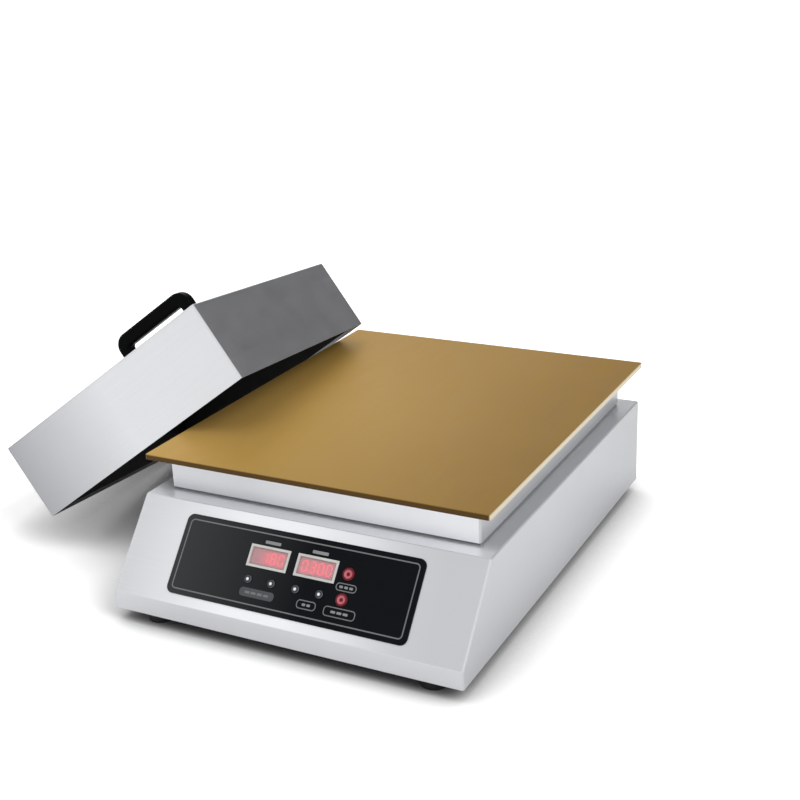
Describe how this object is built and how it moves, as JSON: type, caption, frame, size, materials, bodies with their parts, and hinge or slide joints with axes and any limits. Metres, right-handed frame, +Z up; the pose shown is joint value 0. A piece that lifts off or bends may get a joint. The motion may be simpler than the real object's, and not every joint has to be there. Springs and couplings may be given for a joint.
{
  "type": "souffle pancake maker",
  "caption": "Countertop souffle pancake maker: flat heated plate on a sloped steel housing with keys and displays, and a boxy lift-off lid that leans on the plate's left edge.",
  "frame": {"origin": "on the worktop, under the middle of the box round machine and leaning lid", "axes": "+X to the right as the user stands at the keys, +Y to the back, +Z up"},
  "size_m": [0.7026, 0.568, 0.3172],
  "materials": {
    "body_steel": "fine brushed stainless sheet",
    "pan_steel": "plain zinc coated sheet",
    "seal_rubber": "matt black sponge seal",
    "plate_alloy": "coated cast plate, satin gold brown",
    "zinc_steel": "bright zinc fasteners",
    "element_steel": "heat darkened tube",
    "insulation_wool": "pressed mineral wool",
    "shield_alloy": "thin bright sheet",
    "panel_black": "printed polyester overlay",
    "frame_white": "off-white moulded frame",
    "lens_red": "smoked red clear window",
    "module_black": "black moulded display",
    "digit_red": "lit red segments",
    "key_silver": "plated domed key",
    "key_red": "bright red key with a dish",
    "board_green": "glass laminate board",
    "brass_posts": "turned brass posts",
    "switch_black": "small black switches",
    "moulding_black": "black moulding",
    "pin_brass": "plated brass pins",
    "rocker_red": "red rocker",
    "core_iron": "laminated core and winding",
    "relay_blue": "blue relay cases",
    "capacitor_black": "sleeved can",
    "module_white": "white moulded case",
    "lead_red": "silicone insulated lead",
    "lead_brown": "insulated mains lead",
    "ribbon_grey": "flat ribbon cable",
    "foot_rubber": "black rubber",
    "lid_steel": "fine brushed stainless sheet",
    "liner_black": "black heat resisting enamel",
    "handle_black": "black phenolic moulding"
  },
  "bodies": {
    "machine": {"housing": "body_steel", "base_pan": "pan_steel", "rear_panel": "body_steel", "frame_seal": "seal_rubber", "plate_frame": "body_steel", "heating_plate": "plate_alloy", "plate_studs": "zinc_steel", "plate_nuts": "zinc_steel", "element_front": "element_steel", "element_middle": "element_steel", "element_rear": "element_steel", "element_terminals": "zinc_steel", "element_clamps": "zinc_steel", "heat_shield": "shield_alloy", "insulation": "insulation_wool", "frame_screws": "zinc_steel", "temperature_probe": "zinc_steel", "probe_clip": "shield_alloy", "overheat_cutout": "shield_alloy", "control_panel": "panel_black", "display_frames": "frame_white", "display_lenses": "lens_red", "digit_modules": "module_black", "lit_digits": "digit_red", "display_board": "board_green", "board_posts": "brass_posts", "board_screws": "zinc_steel", "key_switches": "switch_black", "power_inlet": "moulding_black", "inlet_pins": "pin_brass", "switch_case": "moulding_black", "fuse_holder": "moulding_black", "power_board": "board_green", "transformer": "core_iron", "board_relays": "relay_blue", "capacitor": "capacitor_black", "solid_state_relay": "module_white", "terminal_block": "module_white", "heater_leads": "lead_red", "mains_leads": "lead_brown", "panel_ribbon": "ribbon_grey", "foot_front_left": "foot_rubber", "foot_front_right": "foot_rubber", "foot_rear_left": "foot_rubber", "foot_rear_right": "foot_rubber", "foot_nuts": "zinc_steel", "base_screws": "zinc_steel", "rear_screws": "zinc_steel"},
    "lid": {"lid_shell": "lid_steel", "lid_liner": "liner_black", "lid_handle": "handle_black", "handle_screws": "zinc_steel"},
    "key_heat_down": {"key_heat_down": "key_silver"},
    "key_heat_up": {"key_heat_up": "key_silver"},
    "key_time_down": {"key_time_down": "key_silver"},
    "key_time_up": {"key_time_up": "key_silver"},
    "key_start": {"key_start": "key_red"},
    "key_power": {"key_power": "key_red"},
    "power_rocker": {"power_rocker": "rocker_red"}
  },
  "joints": [
    {"name": "lid_lift", "type": "slide", "parent": "machine", "child": "lid", "axis": [-0.6033, 0.0271, 0.7971], "range_m": [0, 0.3]},
    {"name": "key_heat_down_press", "type": "slide", "parent": "machine", "child": "key_heat_down", "axis": [0, 0.7704, -0.6376], "range_m": [0, 0.001], "stiffness_N_per_m": 400, "springref_m": -0.0005},
    {"name": "key_heat_up_press", "type": "slide", "parent": "machine", "child": "key_heat_up", "axis": [0, 0.7704, -0.6376], "range_m": [0, 0.001], "stiffness_N_per_m": 400, "springref_m": -0.0005},
    {"name": "key_time_down_press", "type": "slide", "parent": "machine", "child": "key_time_down", "axis": [0, 0.7704, -0.6376], "range_m": [0, 0.001], "stiffness_N_per_m": 400, "springref_m": -0.0005},
    {"name": "key_time_up_press", "type": "slide", "parent": "machine", "child": "key_time_up", "axis": [0, 0.7704, -0.6376], "range_m": [0, 0.001], "stiffness_N_per_m": 400, "springref_m": -0.0005},
    {"name": "key_start_press", "type": "slide", "parent": "machine", "child": "key_start", "axis": [0, 0.7704, -0.6376], "range_m": [0, 0.001], "stiffness_N_per_m": 400, "springref_m": -0.0005},
    {"name": "key_power_press", "type": "slide", "parent": "machine", "child": "key_power", "axis": [0, 0.7704, -0.6376], "range_m": [0, 0.001], "stiffness_N_per_m": 400, "springref_m": -0.0005},
    {"name": "power_rocker_tilt", "type": "hinge", "parent": "machine", "child": "power_rocker", "pos_m": [0.08185, 0.2635, 0.064], "axis": [1, 0, 0], "range_deg": [0, 20]}
  ]
}
